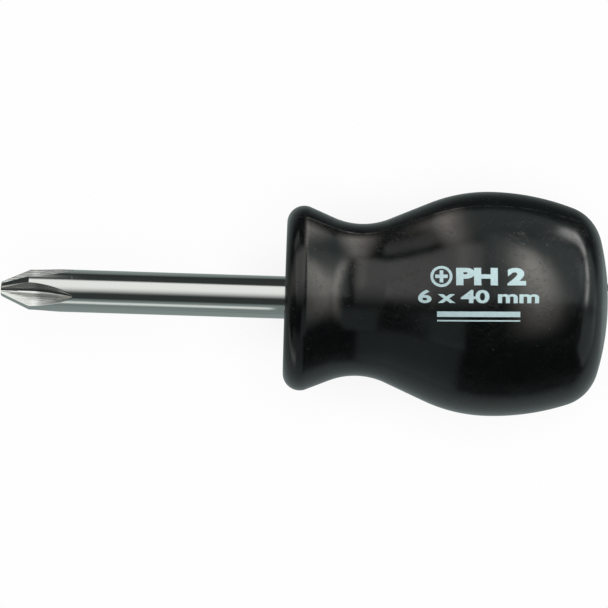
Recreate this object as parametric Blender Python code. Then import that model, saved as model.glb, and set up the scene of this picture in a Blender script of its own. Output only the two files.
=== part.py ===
"""A stubby cross-point screwdriver, size 2.

Two pieces: a plated steel blade, and a solid plastic handle moulded round the blade's tang.
The tool lies along +X from the blunt end of its point at the origin to the butt of the handle,
with +Z up. Lengths are in metres, angles in degrees.
"""

import math

import bmesh
import bpy
from mathutils import Matrix, Vector

MM = 0.001
SIDES = 64  # facets round every turned form
MERGE = 0.001 * MM  # points closer than this are one
SHARP_ANGLE = 30.0  # an edge sharper than this isn't shaded smooth
GAP = 0.3 * MM  # left between the tang and the plastic round it

# Blade: a round bar
SHANK_RADIUS = 3.0 * MM
BLADE_EXPOSED = 40.06 * MM  # from the blunt end to the handle's front face
TANG_LENGTH = 30.0 * MM  # hidden in the handle
TANG_CHAMFER = 0.6 * MM

# Blade: the point, a blunt cone
POINT_END_RADIUS = 0.98 * MM  # where the cone would reach the blunt end
POINT_CONE_HALF_ANGLE = 26.5
POINT_END_BREAK = 0.12 * MM  # the broken edge round the blunt end

# Blade: four flutes, milled by a V cutter that runs in straight and then swings out on an arc
FLUTE_COUNT = 4
FLUTE_PHASE = -15.5  # turn of the first flute from +Z towards +Y
FLUTE_ANGLE = 92.0
FLUTE_ROOT_RADIUS = 0.2 * MM
FLUTE_ROOT_AT_END = 0.66 * MM  # distance of the root from the axis at the blunt end
FLUTE_SLOPE = 2.6
FLUTE_STRAIGHT = 4.1 * MM
FLUTE_EXIT_ARC = 11.2 * MM
FLUTE_EXIT_SWING = 44.0
FLUTE_EXIT_STEPS = 10
FLUTE_LEAD_IN = 1.0 * MM  # the cutter starts this far before the blunt end
FLUTE_CUTTER_DEPTH = 4.2 * MM

# Blade: two ears pinched out of the tang, which stop it turning in the handle
EAR_START = 12.0 * MM  # from the handle's front face
EAR_LENGTH = 9.0 * MM
EAR_INNER = 2.4 * MM  # distance from the axis where an ear's slopes start, inside the bar
EAR_OUTER = 4.4 * MM  # distance from the axis of an ear's top
EAR_THICKNESS = 2.2 * MM

# Handle: its outline is a chain of arcs, each tangent to the next, from the front face to the butt
HANDLE_LENGTH = 45.46 * MM
LIP_RADIUS = 13.05 * MM
LIP_ROUND = 2.4 * MM
NECK_PLACE = 10.42 * MM  # from the front face
NECK_RADIUS = 10.74 * MM
NECK_ARC = 10.0 * MM
BELLY_PLACE = 28.8 * MM
BELLY_RADIUS = 15.82 * MM
BELLY_FRONT_ARC = 22.2 * MM
BELLY_REAR_ARC = 34.4 * MM
SHOULDER_ARC = 6.32 * MM
BUTT_DOME = 36.7 * MM


# ---------------------------------------------------------------- helpers


def arc(centre, radius, start, end, steps):
    """Points on an arc in the (along, out) plane, between two angles from the +along direction."""
    turns = [start + (end - start) * i / steps for i in range(steps + 1)]
    return [
        centre + radius * Vector((math.cos(math.radians(a)), math.sin(math.radians(a))))
        for a in turns
    ]


def bearing(vector):
    """The angle of a 2D vector from the +along direction."""
    return math.degrees(math.atan2(vector.y, vector.x))


def cross_tangent(convex, convex_radius, hollow, hollow_radius, side):
    """The angle of the normal of the line that touches a convex arc and the hollow arc beside it.

    Seen along that normal, the two centres are one radius either side of the line.
    """
    apart = hollow - convex
    lean = math.degrees(math.acos((convex_radius + hollow_radius) / apart.length))
    return bearing(apart) + side * lean


def circles_cross(first, first_radius, second, second_radius):
    """The upper of the two points where two circles in the (along, out) plane cross."""
    apart = second - first
    along = (first_radius**2 - second_radius**2 + apart.length_squared) / (2 * apart.length)
    out = math.sqrt(first_radius**2 - along**2)
    direction = apart.normalized()
    sideways = Vector((-direction.y, direction.x))
    crossings = [first + direction * along + sideways * out * s for s in (1, -1)]
    return max(crossings, key=lambda point: point.y)


def new_object(name, mesh, parent=None):
    found = bpy.data.objects.new(name, mesh)
    bpy.context.collection.objects.link(found)
    found.parent = parent
    return found


def principled(name, colour, roughness, metallic):
    material = bpy.data.materials.new(name)
    material.use_nodes = True
    shader = material.node_tree.nodes["Principled BSDF"]
    shader.inputs["Base Color"].default_value = (*colour, 1.0)
    shader.inputs["Roughness"].default_value = roughness
    shader.inputs["Metallic"].default_value = metallic
    return material


def finished(name, shape, parent):
    """Turns a bmesh into an object, its faces out and its round faces smooth."""
    bmesh.ops.recalc_face_normals(shape, faces=shape.faces)
    mesh = bpy.data.meshes.new(name)
    shape.to_mesh(mesh)
    shape.free()
    mesh.shade_smooth()
    mesh.set_sharp_from_angle(angle=math.radians(SHARP_ANGLE))
    return new_object(name, mesh, parent)


def push(shape, face, run):
    """Extrudes one face along a vector, and gives back the geometry at the far end."""
    pushed = bmesh.ops.extrude_face_region(shape, geom=[face])["geom"]
    corners = [part for part in pushed if isinstance(part, bmesh.types.BMVert)]
    bmesh.ops.translate(shape, vec=run, verts=corners)
    return pushed


def turned(name, outline, parent):
    """A closed solid of revolution about X, from an outline of (along, out) points.

    The outline starts and ends on the axis, where the ends of the turns are merged to one point.
    """
    shape = bmesh.new()
    points = [shape.verts.new((along, 0.0, out)) for along, out in outline]
    edges = [shape.edges.new(pair) for pair in zip(points, points[1:])]
    bmesh.ops.spin(
        shape,
        geom=points + edges,
        axis=(1, 0, 0),
        cent=(0, 0, 0),
        angle=math.tau,
        steps=SIDES,
    )
    bmesh.ops.remove_doubles(shape, verts=shape.verts, dist=MERGE)
    return finished(name, shape, parent)


def boolean(target, operation, other):
    modifier = target.modifiers.new(f"{operation}_{other.name}".lower(), "BOOLEAN")
    modifier.operation = operation
    modifier.object = other
    modifier.solver = "EXACT"
    other.hide_render = True
    other.display_type = "WIRE"


# ---------------------------------------------------------------- blade


def blade_outline():
    """Blunt end, broken edge, cone, shank and the tang's chamfered end."""
    cone = math.tan(math.radians(POINT_CONE_HALF_ANGLE))
    cone_length = (SHANK_RADIUS - POINT_END_RADIUS) / cone
    tang_end = BLADE_EXPOSED + TANG_LENGTH
    return [
        (0.0, 0.0),
        (0.0, POINT_END_RADIUS - POINT_END_BREAK),
        (POINT_END_BREAK, POINT_END_RADIUS + POINT_END_BREAK * cone),
        (cone_length, SHANK_RADIUS),
        (tang_end - TANG_CHAMFER, SHANK_RADIUS),
        (tang_end, SHANK_RADIUS - TANG_CHAMFER),
        (tang_end, 0.0),
    ]


def flute_section():
    """The V cutter's section as (across, up) points, its rounded root lowest, at up = 0."""
    half = math.radians(FLUTE_ANGLE / 2)
    root = Vector((0.0, FLUTE_ROOT_RADIUS))
    rounded = arc(root, FLUTE_ROOT_RADIUS, 180 + FLUTE_ANGLE / 2, 360 - FLUTE_ANGLE / 2, 4)
    top_across = rounded[-1].x + (FLUTE_CUTTER_DEPTH - rounded[-1].y) * math.tan(half)
    top = [Vector((-top_across, FLUTE_CUTTER_DEPTH)), Vector((top_across, FLUTE_CUTTER_DEPTH))]
    return [top[0], *rounded, top[1]]


def flute_cutters(parent):
    """Four V cutters: the section is extruded along the sloping root, then spun out on the exit arc."""
    slope = math.radians(FLUTE_SLOPE)
    feed = Vector((math.cos(slope), 0.0, math.sin(slope)))
    up = Vector((-math.sin(slope), 0.0, math.cos(slope)))
    start = Vector((0.0, 0.0, FLUTE_ROOT_AT_END)) - feed * FLUTE_LEAD_IN
    run = feed * (FLUTE_LEAD_IN + FLUTE_STRAIGHT)
    pivot = start + run + up * FLUTE_EXIT_ARC

    shape = bmesh.new()
    section = [
        shape.verts.new(start + up * point.y + Vector((0.0, point.x, 0.0)))
        for point in flute_section()
    ]
    pushed = push(shape, shape.faces.new(section), run)
    swung = [part for part in pushed if isinstance(part, bmesh.types.BMFace)]
    bmesh.ops.spin(
        shape,
        geom=swung,
        axis=(0, -1, 0),
        cent=pivot,
        angle=math.radians(FLUTE_EXIT_SWING),
        steps=FLUTE_EXIT_STEPS,
    )
    # The face between the straight length and the arc is inside the cutter.
    bmesh.ops.delete(shape, geom=swung, context="FACES_ONLY")

    to_first_flute = Matrix.Rotation(math.radians(-FLUTE_PHASE), 3, "X")
    bmesh.ops.rotate(shape, cent=(0, 0, 0), matrix=to_first_flute, verts=shape.verts)
    bmesh.ops.spin(
        shape,
        geom=[*shape.verts, *shape.edges, *shape.faces],
        axis=(1, 0, 0),
        cent=(0, 0, 0),
        angle=math.tau * (FLUTE_COUNT - 1) / FLUTE_COUNT,
        steps=FLUTE_COUNT - 1,
        use_duplicate=True,
    )
    return finished("flute_cutters", shape, parent)


def ears(name, clearance, parent):
    """The plate of metal that the two ears come from, grown on every side by a clearance.

    Its ends slope at 45 degrees, so a clearance moves a slope's foot by the square root of 2 and
    its top corner by the tangent of 22.5 degrees.
    """
    foot = clearance * math.sqrt(2)
    corner = clearance * math.tan(math.radians(22.5))
    ramp = EAR_OUTER - EAR_INNER
    start = BLADE_EXPOSED + EAR_START
    end = start + EAR_LENGTH
    top = EAR_OUTER + clearance
    half = [
        (start - foot, EAR_INNER),
        (start + ramp - corner, top),
        (end - ramp + corner, top),
        (end + foot, EAR_INNER),
    ]
    outline = half + [(along, -out) for along, out in reversed(half)]
    thickness = EAR_THICKNESS + 2 * clearance
    shape = bmesh.new()
    side = [shape.verts.new((along, -thickness / 2, out)) for along, out in outline]
    push(shape, shape.faces.new(side), Vector((0.0, thickness, 0.0)))
    return finished(name, shape, parent)


def make_blade(parent):
    blade = turned("blade", blade_outline(), parent)
    boolean(blade, "DIFFERENCE", flute_cutters(parent))
    boolean(blade, "UNION", ears("tang_ears", 0.0, parent))
    blade.data.materials.append(principled("bright_plating", (0.62, 0.63, 0.62), 0.12, 1.0))
    return blade


# ---------------------------------------------------------------- handle


def handle_outline():
    """Front face, lip, neck, belly, shoulder and butt, with a straight tangent beside the neck."""
    lip = Vector((LIP_ROUND, LIP_RADIUS - LIP_ROUND))
    neck = Vector((NECK_PLACE, NECK_RADIUS + NECK_ARC))
    belly_front = Vector((BELLY_PLACE, BELLY_RADIUS - BELLY_FRONT_ARC))
    belly_rear = Vector((BELLY_PLACE, BELLY_RADIUS - BELLY_REAR_ARC))
    butt = Vector((HANDLE_LENGTH - BUTT_DOME, 0.0))
    shoulder = circles_cross(
        belly_rear, BELLY_REAR_ARC - SHOULDER_ARC, butt, BUTT_DOME - SHOULDER_ARC
    )

    neck_in = cross_tangent(lip, LIP_ROUND, neck, NECK_ARC, 1)
    neck_out = cross_tangent(belly_front, BELLY_FRONT_ARC, neck, NECK_ARC, -1)
    shoulder_start = bearing(shoulder - belly_rear)
    shoulder_end = bearing(shoulder - butt)

    front = [Vector((0.0, 0.0))]
    points = front + arc(lip, LIP_ROUND, 180, neck_in, 8)
    points += arc(neck, NECK_ARC, 180 + neck_in, 180 + neck_out, 8)
    points += arc(belly_front, BELLY_FRONT_ARC, neck_out, 90, 6)
    points += arc(belly_rear, BELLY_REAR_ARC, 90, shoulder_start, 5)[1:]
    points += arc(shoulder, SHOULDER_ARC, shoulder_start, shoulder_end, 7)[1:]
    points += arc(butt, BUTT_DOME, shoulder_end, 0, 4)[1:]
    points[-1].y = 0.0
    return [(BLADE_EXPOSED + point.x, point.y) for point in points]


def pocket_outline():
    """The round bore that the tang fills, open at the front face."""
    radius = SHANK_RADIUS + GAP
    mouth = BLADE_EXPOSED - 1 * MM
    end = BLADE_EXPOSED + TANG_LENGTH + GAP
    return [(mouth, 0.0), (mouth, radius), (end, radius), (end, 0.0)]


def make_handle(parent):
    handle = turned("handle", handle_outline(), parent)
    boolean(handle, "DIFFERENCE", turned("tang_pocket", pocket_outline(), parent))
    boolean(handle, "DIFFERENCE", ears("ear_pocket", GAP, parent))
    handle.data.materials.append(principled("black_plastic", (0.006, 0.006, 0.007), 0.16, 0.0))
    return handle


# ---------------------------------------------------------------- the tool


for leftover in list(bpy.data.objects):
    bpy.data.objects.remove(leftover, do_unlink=True)

screwdriver = new_object("screwdriver", None)
make_blade(screwdriver)
make_handle(screwdriver)
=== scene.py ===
"""The finish of a stubby cross-point screwdriver: its plated blade, its black handle and their print.

The tool lies along +X, its point at the origin. Shapes are worked out in millimetres and laid on
the frame in metres.
"""

import math

import bmesh
import bpy
import numpy as np
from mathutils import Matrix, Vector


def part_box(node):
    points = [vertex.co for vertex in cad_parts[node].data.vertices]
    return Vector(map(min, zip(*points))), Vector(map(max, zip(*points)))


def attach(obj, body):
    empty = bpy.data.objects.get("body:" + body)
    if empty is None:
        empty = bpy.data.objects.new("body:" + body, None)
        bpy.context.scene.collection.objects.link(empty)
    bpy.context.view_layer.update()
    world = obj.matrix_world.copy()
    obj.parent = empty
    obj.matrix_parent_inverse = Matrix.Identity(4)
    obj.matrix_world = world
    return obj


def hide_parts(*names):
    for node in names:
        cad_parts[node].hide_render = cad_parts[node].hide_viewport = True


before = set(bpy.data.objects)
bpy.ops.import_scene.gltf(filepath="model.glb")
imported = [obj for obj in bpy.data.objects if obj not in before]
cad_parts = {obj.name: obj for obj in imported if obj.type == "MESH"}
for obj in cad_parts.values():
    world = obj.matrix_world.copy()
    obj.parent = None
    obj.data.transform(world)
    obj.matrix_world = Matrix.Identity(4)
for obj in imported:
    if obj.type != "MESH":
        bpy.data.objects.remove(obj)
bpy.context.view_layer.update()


# ---------------------------------------------------------------- blade
# One round bar of chrome-vanadium steel, 6 mm thick, ground, then plated bright. Its point is a
# blunt cone with four milled flutes; its tang, with two pinched ears, is moulded into the handle.

MM = 0.001
BLADE_HIGH = np.array(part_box("blade")[1]) / MM
HANDLE_LOW, HANDLE_HIGH = (np.array(corner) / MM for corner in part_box("handle"))
SHANK = BLADE_HIGH[1]  # radius
FACE = HANDLE_LOW[0]  # where the blade enters the handle
TANG_END = BLADE_HIGH[0]
TANG_CHAMFER = 0.6

END_RADIUS = 0.98  # where the cone would reach the blunt end
CONE_HALF_ANGLE = math.radians(26.5)
END_BREAK = 0.12
SHOULDER = (SHANK - END_RADIUS) / math.tan(CONE_HALF_ANGLE)

FLUTE_PHASE = math.radians(-15.5)  # turn of the first flute from +Z towards +Y
FLUTE_HALF_ANGLE = math.radians(46)
FLUTE_ROOT = 0.2  # radius in the bottom of the V
FLUTE_ROOT_AT_END = 0.66  # from the axis
FLUTE_SLOPE = math.radians(2.6)
FLUTE_STRAIGHT = 4.1
FLUTE_EXIT_ARC = 11.2
FLUTES_END = 10.2  # where the exit arcs leave the bar
EDGE_ROUND = 0.02  # how far the plating rounds a milled edge
LEAST_HALF_FLUTE = 0.06  # radians that the flute's points keep once the flute has run out

EAR_START, EAR_LENGTH, EAR_RAMP = FACE + 12.0, 9.0, 2.0
EAR_HEIGHT = BLADE_HIGH[2] - SHANK
EAR_HALF_WIDTH = math.radians(14)


def mesh_object(name, points, faces):
    """An object from points in millimetres and a list or array of faces."""
    mesh = bpy.data.meshes.new(name)
    mesh.from_pydata(np.asarray(points) * MM, [], np.asarray(faces).tolist() if len(faces) else [])
    mesh.validate()
    mesh.shade_smooth()
    made = bpy.data.objects.new(name, mesh)
    bpy.context.scene.collection.objects.link(made)
    return made


def closed_skin(name, rings):
    """A closed surface through rings of points: a band of triangle pairs between each ring and the
    next, and a fan to the middle of the first ring and of the last.

    rings is an array of (ring, point in ring, xyz).
    """
    count, around = rings.shape[:2]
    points = np.concatenate([rings.reshape(-1, 3), rings[:1].mean(1), rings[-1:].mean(1)])
    first, last = count * around, count * around + 1
    ring = np.arange(around)
    after = np.roll(ring, -1)
    start = (np.arange(count - 1) * around)[:, None]
    a, b = start + ring, start + after
    c, d = b + around, a + around
    band = np.concatenate(
        [np.stack([a, b, c], -1).reshape(-1, 3), np.stack([a, c, d], -1).reshape(-1, 3)]
    )
    near = np.stack([after, ring, np.full(around, first)], -1)
    rim = (count - 1) * around
    far = np.stack([rim + ring, rim + after, np.full(around, last)], -1)
    made = mesh_object(name, points, np.concatenate([band, near, far]))
    made.data.set_sharp_from_angle(angle=math.radians(32))
    return made


def smooth_step(value, low, high):
    """0 below low, 1 above high, and an S curve between."""
    part = np.clip((value - low) / (high - low), 0, 1)
    return part * part * (3 - 2 * part)


def vee(across):
    """Height of the cutter's V over its lowest point: a round root, then straight flanks."""
    across = np.abs(across)
    tangent = FLUTE_ROOT * math.cos(FLUTE_HALF_ANGLE)
    lift = FLUTE_ROOT * (1 - math.sin(FLUTE_HALF_ANGLE))
    root = FLUTE_ROOT - np.sqrt(np.clip(FLUTE_ROOT**2 - across**2, 0, None))
    flank = lift + (across - tangent) / math.tan(FLUTE_HALF_ANGLE)
    return np.where(across < tangent, root, flank)


def flute_floor(along, across):
    """Distance from the axis of a flute's surface: a sloping straight line, then the arc on which
    the cutter leaves, each raised by the V's height."""
    start_along = FLUTE_STRAIGHT * math.cos(FLUTE_SLOPE)
    start_out = FLUTE_ROOT_AT_END + FLUTE_STRAIGHT * math.sin(FLUTE_SLOPE)
    pivot_along = start_along - FLUTE_EXIT_ARC * math.sin(FLUTE_SLOPE)
    pivot_out = start_out + FLUTE_EXIT_ARC * math.cos(FLUTE_SLOPE)
    straight = FLUTE_ROOT_AT_END + along * math.tan(FLUTE_SLOPE) + vee(across) / math.cos(FLUTE_SLOPE)
    reach = (FLUTE_EXIT_ARC - vee(across)) ** 2 - (along - pivot_along) ** 2
    swung = pivot_out - np.sqrt(np.clip(reach, 0, None))
    return np.where(along < start_along, straight, swung)


def blade_radius(along):
    """Radius of the bar before it is fluted: broken edge, cone, shank, chamfered tang end."""
    cone = np.minimum(END_RADIUS + along * math.tan(CONE_HALF_ANGLE), SHANK)
    broken = END_RADIUS - END_BREAK + along * (1 + math.tan(CONE_HALF_ANGLE))
    return np.minimum(np.minimum(cone, broken), SHANK + TANG_END - TANG_CHAMFER - along)


def ear_rise(along, angle):
    """How far an ear stands out of the tang: a ramp up and down along it, a rounded crest across."""
    up = smooth_step(along, EAR_START, EAR_START + EAR_RAMP)
    down = smooth_step(along, EAR_START + EAR_LENGTH - EAR_RAMP, EAR_START + EAR_LENGTH)
    lean = np.arcsin(np.clip(np.sin(angle), -1, 1)) / EAR_HALF_WIDTH
    return EAR_HEIGHT * (up - down) * np.exp(-(lean**4))


def blade_rings():
    """Rings of points along the bar, from its tang to its point, and which of them are milled.

    In each quarter turn the points run across one flute, from edge to edge, then along the crest
    of the wing beside it. A point lies on the flute's floor or on the bar, whichever is nearer the
    axis. Past the flutes the same points spread evenly round the bar."""
    along = np.concatenate(
        [
            np.linspace(0, END_BREAK, 4)[:-1],
            np.linspace(END_BREAK, SHOULDER - 0.08, 46)[:-1],
            np.linspace(SHOULDER - 0.08, SHOULDER + 0.08, 7)[:-1],
            np.linspace(SHOULDER + 0.08, FLUTES_END + 1.3, 100)[:-1],
            np.linspace(FLUTES_END + 1.3, EAR_START, 40)[:-1],
            np.linspace(EAR_START, EAR_START + EAR_LENGTH, 30)[:-1],
            np.linspace(EAR_START + EAR_LENGTH, TANG_END - TANG_CHAMFER, 8)[:-1],
            np.linspace(TANG_END - TANG_CHAMFER, TANG_END, 4),
        ]
    )[:, None]
    bar = blade_radius(along)
    low, high = np.zeros_like(bar), bar.copy()
    for _ in range(40):  # halve the range until the V meets the bar's round
        middle = (low + high) / 2
        inside = flute_floor(along, middle) ** 2 + middle**2 < bar**2
        low, high = np.where(inside, middle, low), np.where(inside, high, middle)
    half_flute = np.arcsin(np.clip(low / bar, 0, 1))
    even = math.radians(30)
    least = LEAST_HALF_FLUTE + (even - LEAST_HALF_FLUTE) * smooth_step(along, FLUTES_END, 16.0)
    half_turn = np.maximum(half_flute, least)

    flute_turns = np.sin(np.linspace(-math.pi / 2, math.pi / 2, 37))
    crest_turns = (1 - np.cos(np.linspace(0, math.pi, 15)))[1:-1] / 2
    in_flute = half_turn * flute_turns[None]
    on_crest = half_turn + (math.pi / 2 - 2 * half_turn) * crest_turns[None]
    angle = np.concatenate([in_flute, on_crest], 1)

    across = bar * np.sin(angle)
    surface = np.maximum(bar * np.cos(angle), 0.0)
    floor = flute_floor(along, across)
    cut = np.concatenate([np.ones_like(in_flute), np.zeros_like(on_crest)], 1) > 0
    gap = np.where(cut, floor - surface, 1.0)
    out = surface + (gap - np.sqrt(gap**2 + EDGE_ROUND**2)) / 2 * (gap < 8 * EDGE_ROUND)
    quarters, cut_quarters = [], []
    for number in range(4):
        phase = FLUTE_PHASE + number * math.pi / 2
        radius = np.hypot(out, across)
        turn = np.arctan2(across, out) + phase
        radius = radius + ear_rise(along, turn)
        quarters.append(
            np.stack(
                [np.broadcast_to(along, radius.shape), radius * np.sin(turn), radius * np.cos(turn)],
                -1,
            )
        )
        cut_quarters.append((cut & (floor < surface)) * 1.0)
    return np.concatenate(quarters, 1)[::-1], np.concatenate(cut_quarters, 1)[::-1]


def add(tree, kind, sockets=(), **settings):
    """A new node in a tree. sockets maps each input to a value or to the output that feeds it."""
    made = tree.nodes.new(kind)
    for name, value in settings.items():
        setattr(made, name, value)
    for socket, value in dict(sockets).items():
        if isinstance(value, bpy.types.NodeSocket):
            tree.links.new(value, made.inputs[socket])
        else:
            made.inputs[socket].default_value = value
    return made


def maths(tree, operation, *values):
    return add(tree, "ShaderNodeMath", dict(enumerate(values)), operation=operation).outputs[0]


def spread(tree, value, low, high, to_low, to_high):
    """Maps low..high on to to_low..to_high along an S curve, and holds it there beyond."""
    ends = dict(zip(range(5), (value, low, high, to_low, to_high)))
    mapped = add(tree, "ShaderNodeMapRange", ends, interpolation_type="SMOOTHSTEP")
    return mapped.outputs[0]


def millimetres(tree, stretch=(1, 1, 1)):
    """A place on the object in millimetres, each direction scaled."""
    place = add(tree, "ShaderNodeTexCoord").outputs["Object"]
    scale = tuple(1000 * part for part in stretch)
    return add(tree, "ShaderNodeVectorMath", {0: place, 1: scale}, operation="MULTIPLY").outputs[0]


def noise(tree, place, scale, detail=2.0, roughness=0.5):
    sockets = {"Vector": place, "Scale": scale, "Detail": detail, "Roughness": roughness}
    return add(tree, "ShaderNodeTexNoise", sockets).outputs["Fac"]


def new_group(name, inputs, outputs):
    """A shader group with float inputs (a Place is a vector) and float outputs."""
    tree = bpy.data.node_groups.new(name, "ShaderNodeTree")
    for label in inputs:
        kind = "NodeSocketVector" if label == "Place" else "NodeSocketFloat"
        tree.interface.new_socket(label, in_out="INPUT", socket_type=kind)
    for label in outputs:
        tree.interface.new_socket(label, in_out="OUTPUT", socket_type="NodeSocketFloat")
    return tree, tree.nodes.new("NodeGroupInput").outputs, tree.nodes.new("NodeGroupOutput").inputs


def use(tree, group, **values):
    return add(tree, "ShaderNodeGroup", values, node_tree=group).outputs


def new_material(name):
    """An empty material, its tree and its Principled shader."""
    made = bpy.data.materials.new(name)
    made.use_nodes = True
    return made, made.node_tree, made.node_tree.nodes["Principled BSDF"]


def feed(tree, shader, **values):
    """Sets the shader's sockets, each by its name with underscores for spaces."""
    for label, value in values.items():
        socket = shader.inputs[label.replace("_", " ")]
        if isinstance(value, bpy.types.NodeSocket):
            tree.links.new(value, socket)
        else:
            socket.default_value = value


def hairline_group():
    """Fine straggling scratches: thin bands where a stretched, bent noise crosses its middle,
    kept only where a broad noise is high. Tilt leans them, Amount is how many are kept."""
    tree, given, result = new_group("hairlines", ("Place", "Tilt", "Amount"), ("Mask",))
    turned = add(
        tree,
        "ShaderNodeVectorRotate",
        {"Vector": given["Place"], "Angle": given["Tilt"], "Axis": (0.3, 0.5, 1.0)},
    ).outputs[0]
    drawn = add(
        tree, "ShaderNodeVectorMath", {0: turned, 1: (0.09, 1.3, 1.3)}, operation="MULTIPLY"
    ).outputs[0]
    band = maths(tree, "ABSOLUTE", maths(tree, "SUBTRACT", noise(tree, drawn, 2.0, 1.0), 0.5))
    line = spread(tree, band, 0.0, 0.007, 1.0, 0.0)
    kept = noise(tree, turned, 0.33, 3.0, 0.6)
    kept = maths(tree, "GREATER_THAN", maths(tree, "ADD", kept, given["Amount"]), 0.72)
    tree.links.new(maths(tree, "MULTIPLY", line, kept), result["Mask"])
    return tree


def smudge_group():
    """Broad soft patches, 0 to 1, as left by handling, with a finer mottle inside them."""
    tree, given, result = new_group("smudges", ("Place", "Size"), ("Patches",))
    scale = maths(tree, "DIVIDE", 1.0, given["Size"])
    broad = noise(tree, given["Place"], scale, 4.0, 0.6)
    tree.links.new(spread(tree, broad, 0.38, 0.66, 0.0, 1.0), result["Patches"])
    return tree


HAIRLINES, SMUDGES = hairline_group(), smudge_group()


def plated_steel():
    """Bright nickel-chrome: a grey mirror with lengthwise polishing lines, a little more haze in
    patches and in the flutes, and the cutter's lines left along each flute."""
    made, tree, shader = new_material("plated_steel_finish")
    place = millimetres(tree)
    lengthwise = millimetres(tree, (0.03, 1.0, 1.0))
    in_flute = add(tree, "ShaderNodeAttribute", attribute_name="milled").outputs["Fac"]
    polish = noise(tree, lengthwise, 9.0, 4.0, 0.65)
    cutter = noise(tree, lengthwise, 5.5, 2.0, 0.5)
    patches = use(tree, SMUDGES, Place=place, Size=6.0)["Patches"]
    lines = use(tree, HAIRLINES, Place=place, Tilt=1.2, Amount=0.1)["Mask"]
    speck = add(tree, "ShaderNodeTexVoronoi", {"Vector": place, "Scale": 1.5}).outputs["Distance"]
    speck = spread(tree, speck, 0.03, 0.07, 1.0, 0.0)
    rough = maths(tree, "MULTIPLY_ADD", patches, 0.035, 0.07)
    rough = maths(tree, "MULTIPLY_ADD", in_flute, 0.08, rough)
    rough = maths(tree, "MULTIPLY_ADD", lines, 0.12, rough)
    tint = add(
        tree,
        "ShaderNodeMix",
        {0: speck, 6: (0.58, 0.595, 0.58, 1.0), 7: (0.22, 0.19, 0.15, 1.0)},
        data_type="RGBA",
    ).outputs[2]
    height = maths(tree, "MULTIPLY", maths(tree, "SUBTRACT", polish, 0.5), 0.0012)
    cut = maths(tree, "MULTIPLY", maths(tree, "SUBTRACT", cutter, 0.5), 0.012)
    height = maths(tree, "MULTIPLY_ADD", cut, in_flute, height)
    height = maths(tree, "MULTIPLY_ADD", lines, -0.0015, height)
    bump = add(tree, "ShaderNodeBump", {"Height": height, "Strength": 1.0, "Distance": MM})
    feed(tree, shader, Base_Color=tint, Metallic=1.0, Roughness=rough, Normal=bump.outputs[0])
    return made


rings, milled = blade_rings()
blade = closed_skin("blade_bar", rings)
mark = blade.data.attributes.new("milled", "FLOAT", "POINT")
mark.data.foreach_set("value", np.append(milled.ravel(), [0.0, milled[-1].mean()]))
blade.data.materials.append(plated_steel())
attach(blade, "root")
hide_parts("blade")


# ---------------------------------------------------------------- handle
# One solid moulding in glossy black plastic round the tang: a flared lip, a waist, a fat belly
# and a slightly domed butt, with the line where the two halves of its mould met.

LIP_ROUND = 2.4
LIP_RADIUS = 13.05
NECK_PLACE, NECK_RADIUS, NECK_ARC = 10.42, 10.74, 10.0
BELLY_PLACE, BELLY_RADIUS = 28.8, HANDLE_HIGH[2]
BELLY_FRONT_ARC, BELLY_REAR_ARC = 22.2, 34.4
SHOULDER_ARC, BUTT_DOME = 6.32, 36.7
HANDLE_LENGTH = HANDLE_HIGH[0] - FACE
POCKET_CLEARANCE = 0.02
POCKET_END = TANG_END + 0.3
STEP = 0.4  # between the rings of the outside
PARTING_TURN = math.radians(60)  # of the mould's parting plane, from +Z towards +Y
PARTING_HALF_WIDTH, PARTING_HEIGHT = 0.11, 0.035
GATE_PLACE, GATE_RADIUS, GATE_HEIGHT = 3.3, 0.55, 0.12


def arc(centre, radius, start, end):
    """Points on an arc in the (along, out) plane, one step apart, without the last."""
    count = max(24, math.ceil(radius * abs(end - start) / STEP))
    turns = np.linspace(start, end, count + 1)[:-1]
    return np.array(centre) + radius * np.stack([np.cos(turns), np.sin(turns)], -1)


def bearing(start, end):
    return math.atan2(end[1] - start[1], end[0] - start[0])


def cross_tangent(convex, convex_radius, hollow, hollow_radius, side):
    """The angle of the normal of the line that touches a convex arc and the hollow arc beside it:
    along that normal the two centres are one radius either side of the line."""
    lean = math.acos((convex_radius + hollow_radius) / math.dist(convex, hollow))
    return bearing(convex, hollow) + side * lean


def handle_profile():
    """The outside, from the front face to the butt: a chain of arcs, each tangent to the next."""
    lip = (LIP_ROUND, LIP_RADIUS - LIP_ROUND)
    neck = (NECK_PLACE, NECK_RADIUS + NECK_ARC)
    front = (BELLY_PLACE, BELLY_RADIUS - BELLY_FRONT_ARC)
    rear = (BELLY_PLACE, BELLY_RADIUS - BELLY_REAR_ARC)
    butt = (HANDLE_LENGTH - BUTT_DOME, 0.0)
    to_rear, to_butt = BELLY_REAR_ARC - SHOULDER_ARC, BUTT_DOME - SHOULDER_ARC
    apart = math.dist(rear, butt)
    toward = math.acos((to_rear**2 + apart**2 - to_butt**2) / (2 * to_rear * apart))
    shoulder_start = bearing(rear, butt) - toward
    shoulder = (
        rear[0] + to_rear * math.cos(shoulder_start),
        rear[1] + to_rear * math.sin(shoulder_start),
    )
    shoulder_end = bearing(butt, shoulder)
    neck_in = cross_tangent(lip, LIP_ROUND, neck, NECK_ARC, 1)
    neck_out = cross_tangent(front, BELLY_FRONT_ARC, neck, NECK_ARC, -1)
    quarter = math.pi / 2
    profile = np.concatenate(
        [
            arc(lip, LIP_ROUND, math.pi, neck_in),
            arc(neck, NECK_ARC, math.pi + neck_in, math.pi + neck_out),
            arc(front, BELLY_FRONT_ARC, neck_out, quarter),
            arc(rear, BELLY_REAR_ARC, quarter, shoulder_start),
            arc(shoulder, SHOULDER_ARC, shoulder_start, shoulder_end),
            arc(butt, BUTT_DOME, shoulder_end, 0.0),
        ]
    )
    return profile + (FACE, 0.0)


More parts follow.
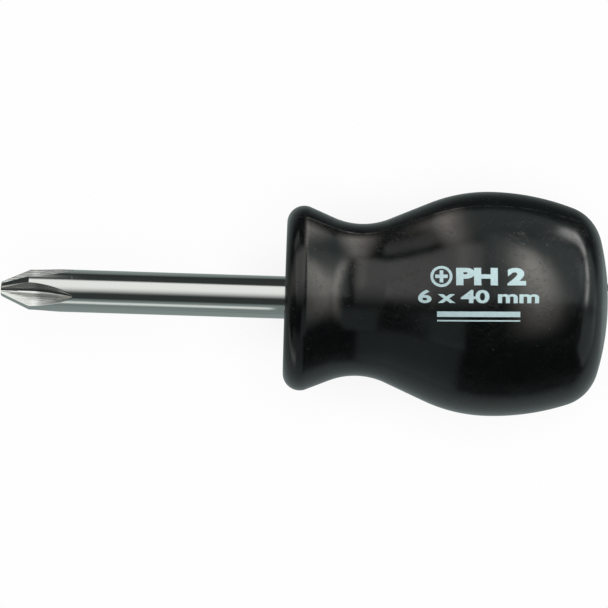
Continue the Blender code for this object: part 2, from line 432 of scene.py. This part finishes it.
def handle_radius(along):
    """Radius of the outside at places along the tool between the lip and the shoulder."""
    profile = handle_profile()
    return np.interp(along, profile[:, 0], profile[:, 1])


def handle_rings():
    """Rings of points from the butt, over the outside to the front face, then into the pocket that
    the tang fills. Each ring has more points near the parting plane, where a hair of flash
    stands proud; a low round stub on the butt is what is left of the gate."""
    even = np.linspace(0, 2 * math.pi, 264, endpoint=False)
    close = np.radians(np.linspace(-1.0, 1.0, 15))
    turns = np.concatenate([even, PARTING_TURN + close, PARTING_TURN + math.pi + close])
    angle = np.unique(np.mod(turns, 2 * math.pi).round(6))[None]

    outside = handle_profile()[::-1]
    along, out = outside[:, :1], outside[:, 1:]
    off_plane = out * np.abs(np.sin(angle - PARTING_TURN))
    uneven = 0.55 + 0.3 * np.sin(1.9 * along) * np.sin(0.7 * along + 1) + 0.15 * np.sin(5.3 * along)
    flash = PARTING_HEIGHT * uneven * np.exp(-((off_plane / PARTING_HALF_WIDTH) ** 2))
    # The skin is drawn in by a share of the flash, so the flash doesn't stand past the belly.
    radius = out - 0.3 * PARTING_HEIGHT + flash * smooth_step(out, 2.0, 6.0)
    radius = np.minimum(radius, BELLY_RADIUS)
    side = np.hypot(
        out * np.sin(angle) - GATE_PLACE * math.sin(PARTING_TURN),
        out * np.cos(angle) - GATE_PLACE * math.cos(PARTING_TURN),
    )
    on_butt = along > FACE + HANDLE_LENGTH - 1.0
    stub = GATE_HEIGHT * smooth_step(-side, -GATE_RADIUS, -0.6 * GATE_RADIUS) * on_butt
    place = np.minimum(along + stub, HANDLE_HIGH[0])

    bore = SHANK + POCKET_CLEARANCE
    face_out = np.linspace(LIP_RADIUS - LIP_ROUND, bore + 0.15, 12)[1:, None]
    mouth = np.array([[FACE, bore + 0.15], [FACE + 0.04, bore + 0.04], [FACE + 0.15, bore]])
    inside = np.concatenate(
        [
            np.linspace(FACE + 0.5, EAR_START - 0.2, 6),
            np.linspace(EAR_START, EAR_START + EAR_LENGTH, 24),
            np.linspace(EAR_START + EAR_LENGTH + 0.2, POCKET_END, 5),
        ]
    )[:, None]
    flat = np.ones_like(angle)
    rings_along = np.concatenate(
        [place, FACE * flat * np.ones_like(face_out), mouth[:, :1] * flat, inside * flat]
    )
    rings_out = np.concatenate(
        [
            radius * np.ones_like(angle),
            face_out * flat,
            mouth[:, 1:] * flat,
            bore + ear_rise(inside, angle),
        ]
    )
    return np.stack([rings_along, rings_out * np.sin(angle), rings_out * np.cos(angle)], -1)


def dust_group():
    """Dust and tiny nicks: round specks round scattered points, each of its own size, and most of
    them left out. Fewer says how many are left out."""
    tree, given, result = new_group("dust", ("Place", "Scale", "Fewer"), ("Specks",))
    cells = add(
        tree, "ShaderNodeTexVoronoi", {"Vector": given["Place"], "Scale": given["Scale"]}
    ).outputs
    pick = add(tree, "ShaderNodeSeparateColor", {0: cells["Color"]}).outputs
    reach = maths(tree, "MULTIPLY", pick[1], 0.08)
    near = maths(tree, "LESS_THAN", cells["Distance"], reach)
    kept = maths(tree, "GREATER_THAN", pick[0], given["Fewer"])
    tree.links.new(maths(tree, "MULTIPLY", near, kept), result["Specks"])
    return tree


DUST = dust_group()


def black_plastic():
    """Glossy black moulding: slow sink waves, a fine orange peel, hazy handled patches, hairline
    scratches, and pale dust lying in places."""
    made, tree, shader = new_material("black_plastic_finish")
    place = millimetres(tree)
    patches = use(tree, SMUDGES, Place=place, Size=9.0)["Patches"]
    lines = use(tree, HAIRLINES, Place=place, Tilt=0.5, Amount=0.24)["Mask"]
    crossing = use(tree, HAIRLINES, Place=place, Tilt=2.0, Amount=0.2)["Mask"]
    lines = maths(tree, "MAXIMUM", lines, crossing)
    specks = use(tree, DUST, Place=place, Scale=1.3, Fewer=0.4)["Specks"]
    rough = maths(tree, "MULTIPLY_ADD", patches, 0.07, 0.15)
    rough = maths(tree, "MULTIPLY_ADD", lines, 0.10, rough)
    rough = maths(tree, "MULTIPLY_ADD", specks, 0.3, rough)
    tint = add(
        tree,
        "ShaderNodeMix",
        {0: specks, 6: (0.001, 0.0015, 0.0016, 1.0), 7: (0.09, 0.085, 0.08, 1.0)},
        data_type="RGBA",
    ).outputs[2]
    waves = maths(tree, "MULTIPLY", noise(tree, place, 0.16, 2.0), 0.05)
    peel = maths(tree, "MULTIPLY", noise(tree, place, 1.6, 3.0, 0.6), 0.003)
    height = maths(tree, "ADD", waves, peel)
    height = maths(tree, "MULTIPLY_ADD", lines, -0.006, height)
    bump = add(tree, "ShaderNodeBump", {"Height": height, "Strength": 1.0, "Distance": MM})
    feed(tree, shader, Base_Color=tint, Roughness=rough, IOR=1.49, Normal=bump.outputs[0])
    return made


handle = closed_skin("handle_moulding", handle_rings())
handle.data.materials.append(black_plastic())
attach(handle, "root")
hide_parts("handle")


# ---------------------------------------------------------------- marking
# A film of pale blue ink, pad-printed on the belly and about a hundredth of a millimetre thick: a
# cross-point sign with its size, then the blade's width and length, then two plain rules.

INK_THICKNESS = 0.012
INK_PLACE = (66.75, 1.0)  # middle of the print: along the tool, and up from its middle line
INK_TURN = math.radians(1.6)  # it went on slightly out of line with the tool
INK_REACH = (8.5, 4.5)  # of the print from its middle, along and up
INK_SUNK = 0.004  # how far the film sits in the plastic
INK_CELL = 0.3  # largest step across a letter before it is wrapped


def lettering(words, height, middle, width, weight):
    """Words as a thin closed mesh, stretched to a height and a width, centred on middle, with
    strokes thickened by weight. Points are (along, up, above) in millimetres."""
    curve = bpy.data.curves.new("letters", "FONT")
    curve.body = words
    curve.size = 1.0
    curve.offset = weight
    curve.extrude = 0.01
    curve.resolution_u = 6
    source = bpy.data.objects.new("letters", curve)
    bpy.context.scene.collection.objects.link(source)
    bpy.context.view_layer.update()
    mesh = bpy.data.meshes.new_from_object(source)
    bpy.data.objects.remove(source)
    points = np.empty(len(mesh.vertices) * 3)
    mesh.vertices.foreach_get("co", points)
    points = points.reshape(-1, 3)
    low, high = points.min(0), points.max(0)
    scale = np.array([width, height, 1.0]) / np.array([high[0] - low[0], high[1] - low[1], 1.0])
    points = (points - (low + high) / 2) * scale + (*middle, 0.0)
    points[:, 2] = np.sign(points[:, 2]) * INK_THICKNESS / 2
    faces = [tuple(face.vertices) for face in mesh.polygons]
    return points, faces


def slab(outlines):
    """A closed mesh between two flat copies of a ring of quads. outlines is an inner and an outer
    row of as many points, both anticlockwise."""
    inner, outer = outlines
    count = len(inner)
    flat = np.concatenate([inner, outer])
    top = np.column_stack([flat, np.full(2 * count, INK_THICKNESS / 2)])
    low = np.column_stack([flat, np.full(2 * count, -INK_THICKNESS / 2)])
    ring = np.arange(count)
    after = np.roll(ring, -1)
    a, b, c, d = ring, after, count + after, count + ring
    under = 2 * count
    faces = [
        np.stack([a, d, c, b], -1),
        np.stack([a, b, c, d], -1) + under,
        np.stack([d, d + under, c + under, c], -1),
        np.stack([b, b + under, a + under, a], -1),
    ]
    return np.concatenate([top, low]), np.concatenate(faces).tolist()


def annulus(middle, inner, outer):
    turns = np.linspace(0, 2 * math.pi, 72, endpoint=False)
    rim = np.stack([np.cos(turns), np.sin(turns)], -1)
    return slab((middle + inner * rim, middle + outer * rim))


def outline_slab(corners):
    """A closed mesh between two flat copies of one polygon, anticlockwise."""
    corners = np.asarray(corners, float)
    count = len(corners)
    top = np.column_stack([corners, np.full(count, INK_THICKNESS / 2)])
    low = np.column_stack([corners, np.full(count, -INK_THICKNESS / 2)])
    ring = np.arange(count)
    after = np.roll(ring, -1)
    sides = np.stack([ring, ring + count, after + count, after], -1).tolist()
    faces = [tuple(range(count)), tuple(range(2 * count - 1, count - 1, -1))] + sides
    return np.concatenate([top, low]), faces


def cross(middle, reach, half):
    """A plus sign of arms that reach out from its middle, each twice half wide."""
    corner = [(reach, -half), (reach, half), (half, half)]
    turned = []
    for quarter in range(4):
        cos, sin = round(math.cos(quarter * math.pi / 2)), round(math.sin(quarter * math.pi / 2))
        turned += [(x * cos - y * sin, x * sin + y * cos) for x, y in corner]
    return outline_slab(np.array(turned) + middle)


def rule(middle, width, height):
    across, up = width / 2, height / 2
    return outline_slab(np.array([(-across, -up), (across, -up), (across, up), (-across, up)]) + middle)


def print_mesh():
    """All the signs, cut into small cells and wrapped on the belly. A sign's height above the
    middle line, divided by the belly's radius there, becomes a turn round the tool's axis, and its
    thickness stands on the plastic."""
    signs = [
        annulus((-5.1, 2.75), 1.12, 1.5),
        cross((-5.1, 2.75), 0.86, 0.25),
        lettering("PH 2", 2.5, (1.7, 2.75), 9.6, 0.055),
        lettering("6 x 40 mm", 1.85, (0.0, -0.05), 16.6, 0.03),
        rule((0.0, -2.5), 11.4, 0.75),
        rule((0.0, -3.4), 11.4, 0.2),
    ]
    points = np.concatenate([part[0] for part in signs])
    starts = np.cumsum([0] + [len(part[0]) for part in signs])
    faces = [[n + start for n in face] for start, part in zip(starts, signs) for face in part[1]]
    work = bmesh.new()
    mesh = bpy.data.meshes.new("print")
    mesh.from_pydata(points, [], faces)
    work.from_mesh(mesh)
    bmesh.ops.remove_doubles(work, verts=work.verts, dist=1e-4)
    for normal, reach in zip(((1, 0, 0), (0, 1, 0)), INK_REACH):
        for place in np.arange(-reach, reach + INK_CELL, INK_CELL):
            where = tuple(part * place for part in normal)
            bmesh.ops.bisect_plane(
                work, geom=work.verts[:] + work.edges[:] + work.faces[:], plane_co=where, plane_no=normal
            )
    bmesh.ops.triangulate(work, faces=work.faces[:])
    work.to_mesh(mesh)
    work.free()
    flat = np.empty(len(mesh.vertices) * 3)
    mesh.vertices.foreach_get("co", flat)
    along, up, above = flat.reshape(-1, 3).T
    place = INK_PLACE[0] + along * math.cos(INK_TURN) - up * math.sin(INK_TURN)
    rise = INK_PLACE[1] + along * math.sin(INK_TURN) + up * math.cos(INK_TURN)
    skin = handle_radius(place)
    radius = np.minimum(skin + above + INK_THICKNESS / 2 - INK_SUNK, BELLY_RADIUS)
    turn = rise / skin
    wrapped = np.stack([place, radius * np.sin(turn), radius * np.cos(turn)], -1)
    triangles = np.empty(3 * len(mesh.polygons), np.int32)
    mesh.polygons.foreach_get("vertices", triangles)
    return wrapped, triangles.reshape(-1, 3)


def print_ink():
    """Pale blue ink: matt, thinner in a fine mottle, with pinholes and rubbed spots where the black
    plastic shows."""
    made, tree, shader = new_material("print_ink_finish")
    place = millimetres(tree)
    mottle = noise(tree, place, 2.2, 4.0, 0.65)
    pinholes = use(tree, DUST, Place=place, Scale=5.0, Fewer=0.8)["Specks"]
    rubbed = spread(tree, noise(tree, place, 1.1, 5.0, 0.7), 0.68, 0.78, 0.0, 0.5)
    shade = spread(tree, mottle, 0.3, 0.7, 0.0, 1.0)
    ink = add(
        tree,
        "ShaderNodeMix",
        {0: shade, 6: (0.37, 0.49, 0.52, 1.0), 7: (0.43, 0.56, 0.59, 1.0)},
        data_type="RGBA",
    ).outputs[2]
    bare = maths(tree, "MAXIMUM", pinholes, rubbed)
    tint = add(
        tree, "ShaderNodeMix", {0: bare, 6: ink, 7: (0.03, 0.035, 0.04, 1.0)}, data_type="RGBA"
    ).outputs[2]
    rough = maths(tree, "MULTIPLY_ADD", mottle, 0.25, 0.42)
    height = maths(tree, "MULTIPLY", mottle, 0.006)
    bump = add(tree, "ShaderNodeBump", {"Height": height, "Strength": 1.0, "Distance": MM})
    feed(tree, shader, Base_Color=tint, Roughness=rough, Normal=bump.outputs[0])
    return made


marking = mesh_object("handle_print", *print_mesh())
marking.data.shade_flat()
marking.data.materials.append(print_ink())
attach(marking, "root")


# ---------------------------------------------------------------- floor and studio
# A pale table that the lip and the belly both touch, so it tilts against the tool's axis. The
# camera sees it pale with a painted contact shadow, and the tool sees it greyer, as painted light and
# shade. Soft cards stand close round the tool.

TABLE_HALF = 3000.0
# From the lip's centre to the belly's front centre, then the slope of the line under both arcs.
APART = (BELLY_PLACE - LIP_ROUND, BELLY_RADIUS - BELLY_FRONT_ARC - LIP_RADIUS + LIP_ROUND)
TABLE_TILT = math.asin((BELLY_FRONT_ARC - LIP_ROUND) / math.hypot(*APART)) + math.atan2(*APART[::-1])
# What the tool reflects of the table is painted light and shade: a grey glow, darker where the room is
# unlit.
TABLE_PALE, TABLE_PAINTED_LIGHT = 0.99, 0.38
TABLE_PAINTED_SHADOW = 0.86  # share of the paleness left where the tool touches it
TABLE_PAINTED_SHADE_BEHIND, TABLE_PAINTED_SHADE_FAR_FRONT = 0.13, 0.25  # shares of the grey left in the unlit parts
ROOM_PALE, ROOM_SEEN_BY_TOOL = 0.99, 0.055
COOL, NEUTRAL, WARM = (0.85, 1.0, 0.98), (1.0, 0.99, 0.97), (1.0, 0.93, 0.86)


def table_height(place):
    """How high the table is at a place along the tool: it touches the lowest part of the outline."""
    lean, up = -math.sin(TABLE_TILT), math.cos(TABLE_TILT)
    reach = (handle_profile() @ (lean, up)).max()
    return (place * lean - reach) / up


def seen_two_ways(tree, to_camera, to_tool):
    """A strength for the camera's own view and another for what the tool reflects, and a colour
    that is white to the camera and cool to the tool."""
    camera_ray = add(tree, "ShaderNodeLightPath").outputs["Is Camera Ray"]
    sockets = {0: camera_ray, 2: to_tool, 3: to_camera}
    strength = add(tree, "ShaderNodeMix", sockets, data_type="FLOAT").outputs[0]
    colours = {0: camera_ray, 6: (*COOL, 1.0), 7: (1.0, 1.0, 1.0, 1.0)}
    colour = add(tree, "ShaderNodeMix", colours, data_type="RGBA").outputs[2]
    return {"Strength": strength, "Color": colour}


def table():
    """To the camera, a pale sheet with a painted contact shadow just where the tool rests. The tool sees
    it as a grey glow of painted light, with painted shade far in front and behind, where the room is
    unlit;
    the lit part reaches further back beside the blade than beside the handle. From below it is clear, so
    it hides nothing."""
    middle = np.array([45.0, 0.0, table_height(45.0)])
    along = np.array([math.cos(TABLE_TILT), 0.0, -math.sin(TABLE_TILT)]) * TABLE_HALF
    across = np.array([0.0, 1.0, 0.0]) * TABLE_HALF
    corners = [middle - along - across, middle + along - across]
    corners += [middle + along + across, middle - along + across]
    made = mesh_object("table", corners, [(0, 1, 2, 3)])
    finish, tree, shader = new_material("table_finish")
    tree.nodes.remove(shader)
    # Painted contact shadow: the pale sheet is darkened where ambient occlusion finds the tool close.
    near = add(tree, "ShaderNodeAmbientOcclusion", {"Distance": 0.012}, samples=8).outputs["AO"]
    pale = maths(tree, "MULTIPLY", spread(tree, near, 0.0, 1.0, TABLE_PAINTED_SHADOW, 1.0), TABLE_PALE)
    # Painted light and shade for what the tool reflects: a grey glow, darkened far in front and behind.
    where = add(tree, "ShaderNodeSeparateXYZ", {0: millimetres(tree)}).outputs
    sideways = where[1]
    lit_to = spread(tree, where[0], 20.0, 45.0, 50.0, 36.0)
    grey = maths(
        tree,
        "MULTIPLY",
        spread(tree, sideways, -110.0, -40.0, TABLE_PAINTED_SHADE_FAR_FRONT * TABLE_PAINTED_LIGHT, TABLE_PAINTED_LIGHT),
        spread(tree, sideways, 8.0, lit_to, 1.0, TABLE_PAINTED_SHADE_BEHIND),
    )
    shown = add(tree, "ShaderNodeEmission", seen_two_ways(tree, pale, grey)).outputs[0]
    clear = add(tree, "ShaderNodeBsdfTransparent").outputs[0]
    from_below = add(tree, "ShaderNodeNewGeometry").outputs["Backfacing"]
    sheet = add(tree, "ShaderNodeMixShader", {0: from_below, 1: shown, 2: clear}).outputs[0]
    tree.links.new(sheet, tree.nodes["Material Output"].inputs["Surface"])
    made.data.materials.append(finish)


def room():
    world = bpy.data.worlds.new("room")
    bpy.context.scene.world = world
    world.use_nodes = True
    tree = world.node_tree
    for label, value in seen_two_ways(tree, ROOM_PALE, ROOM_SEEN_BY_TOOL).items():
        tree.links.new(value, tree.nodes["Background"].inputs[label])


def soft_edge_group():
    """1 in the middle of a card, falling to 0 over a share of its length at both ends, and over a
    share of its width at the near and the far side."""
    tree, given, result = new_group("soft_edge", ("Place", "Ends", "Near", "Far"), ("Glow",))
    place = add(tree, "ShaderNodeSeparateXYZ", {0: given["Place"]}).outputs
    off_middle = maths(tree, "ABSOLUTE", maths(tree, "SUBTRACT", place[0], 0.5))
    ends = spread(tree, maths(tree, "SUBTRACT", 0.5, off_middle), 0.0, given["Ends"], 0.0, 1.0)
    near = spread(tree, place[1], 0.0, given["Near"], 0.0, 1.0)
    far = spread(tree, maths(tree, "SUBTRACT", 1.0, place[1]), 0.0, given["Far"], 0.0, 1.0)
    glow = maths(tree, "MULTIPLY", ends, maths(tree, "MULTIPLY", near, far))
    tree.links.new(glow, result["Glow"])
    return tree


SOFT_EDGE = soft_edge_group()


def panel(name, corner, first, second, glow, soft=(0.2, 0.2, 0.2), tint=WARM):
    """A glowing card between a corner and the two corners next to it, in millimetres. The camera
    does not see it, it lets light through, and it fades at its ends, near side and far side."""
    corner, first, second = (np.array(part, float) for part in (corner, first, second))
    made = mesh_object(name, [corner, first, first + second - corner, second], [(0, 1, 2, 3)])
    layer = made.data.uv_layers.new(name="card")
    layer.data.foreach_set("uv", [0, 0, 1, 0, 1, 1, 0, 1])
    finish, tree, shader = new_material(name + "_finish")
    tree.nodes.remove(shader)
    place = add(tree, "ShaderNodeUVMap", uv_map="card").outputs[0]
    ends, near, far = soft
    fade = use(tree, SOFT_EDGE, Place=place, Ends=ends, Near=near, Far=far)["Glow"]
    strength = maths(tree, "MULTIPLY", fade, glow)
    shown = add(tree, "ShaderNodeEmission", {"Color": (*tint, 1.0), "Strength": strength}).outputs[0]
    clear = add(tree, "ShaderNodeBsdfTransparent").outputs[0]
    both = add(tree, "ShaderNodeAddShader", {0: shown, 1: clear}).outputs[0]
    tree.links.new(both, tree.nodes["Material Output"].inputs["Surface"])
    made.data.materials.append(finish)
    made.visible_camera = False
    made.visible_shadow = False


def key_lamp():
    """A large soft lamp overhead for the matt surfaces. The cards make the reflections."""
    lamp = bpy.data.lights.new("key", "AREA")
    lamp.shape = "DISK"
    lamp.size = 0.4
    lamp.energy = 1.0
    made = bpy.data.objects.new("key", lamp)
    bpy.context.scene.collection.objects.link(made)
    made.location = (0.06, 0.05, 0.5)
    made.visible_glossy = False
    made.visible_camera = False


table()
room()
key_lamp()
# name, a corner, the corner along its length, the corner across it, glow, soft edges, tint
panel("overhead", (-24, -22, 99), (66, -22, 99), (-24, 88, 39), 1.22, (0.1, 0.53, 0.18), NEUTRAL)
panel("overhead_left", (-80, -3, 99), (-4, -3, 99), (-80, 88, 33), 0.62, (0.12, 0.24, 0.15), NEUTRAL)
panel("overhead_right", (60, 0, 66), (150, 0, 66), (60, 66, 24), 0.75, (0.12, 0.12, 0.2), COOL)
panel("upper_right", (78, -60, 72), (126, -60, 72), (78, 165, 72), 4.7, (0.5, 0.5, 0.5))
panel("ceiling_strip", (40, 14, 62), (58, 14, 62), (40, 60, 33), 0.6, (0.5, 0.2, 0.2))
panel("wall_strip", (42, 36, -10), (63, 36, -10), (42, 36, 32), 2.2, (0.5, 0.3, 0.4))
panel("far_wall", (50, 60, -14), (140, 60, -14), (50, 60, 34), 0.42, (0.1, 0.15, 0.15), COOL)
panel("low_right", (96, 60, -8), (152, 60, 0), (96, 60, 15), 4.6, (0.15, 0.25, 0.6), NEUTRAL)
panel("end_strip", (150, 64, 0), (150, -2, 28), (150, 64, 21), 4.8, (0.2, 0.3, 0.5), NEUTRAL)
panel("lower_left", (-8, -34, 46), (56, -34, 46), (-8, -62, -12), 0.25, (0.1, 0.2, 0.15), COOL)
panel("lower_strip", (-2, -16, 14), (39, -16, 14), (-2, -20, 6), 0.8, (0.04, 0.5, 0.5), NEUTRAL)
panel("left_wall", (-80, 110, -22), (4, 110, -22), (-80, 110, 45), 0.6, (0.1, 0.2, 0.3), NEUTRAL)
panel("over_neck", (40, -26, 28), (59.5, -26, 28), (43, -1, 28), 0.3, (0.08, 0.2, 0.3), COOL)
panel("right_end", (160, -10, -25), (160, 80, -25), (160, -10, 75), 0.6, (0.2, 0.2, 0.2), COOL)
panel("right_low", (160, -85, -20), (160, 0, -20), (160, -85, 54), 0.5, (0.15, 0.2, 0.1), COOL)
panel("left_end", (-95, -5, 0), (-95, 70, 0), (-95, -5, 105), 0.6, (0.2, 0.2, 0.2))


# ---------------------------------------------------------------- camera
# A long lens straight above the tool, so its outline is nearly without perspective. The tool dips a
# little to the right in the frame.

CAMERA_HEIGHT = 600.0
FRAME_WIDTH = 85.755  # of the plane through the tool's axis that fills the frame
CAMERA_AIM = (42.77, -0.83)
CAMERA_ROLL = math.radians(1.79)

lens = bpy.data.cameras.new("camera")
lens.sensor_width = 36.0
lens.lens = lens.sensor_width * CAMERA_HEIGHT / FRAME_WIDTH
lens.clip_start = 0.01
lens.clip_end = 20.0
camera = bpy.data.objects.new("camera", lens)
bpy.context.scene.collection.objects.link(camera)
camera.location = (CAMERA_AIM[0] * MM, CAMERA_AIM[1] * MM, CAMERA_HEIGHT * MM)
camera.rotation_euler = (0.0, 0.0, CAMERA_ROLL)
bpy.context.scene.camera = camera
bpy.context.scene.view_settings.view_transform = "Standard"
bpy.context.scene.view_settings.look = "None"

bpy.context.view_layer.update()
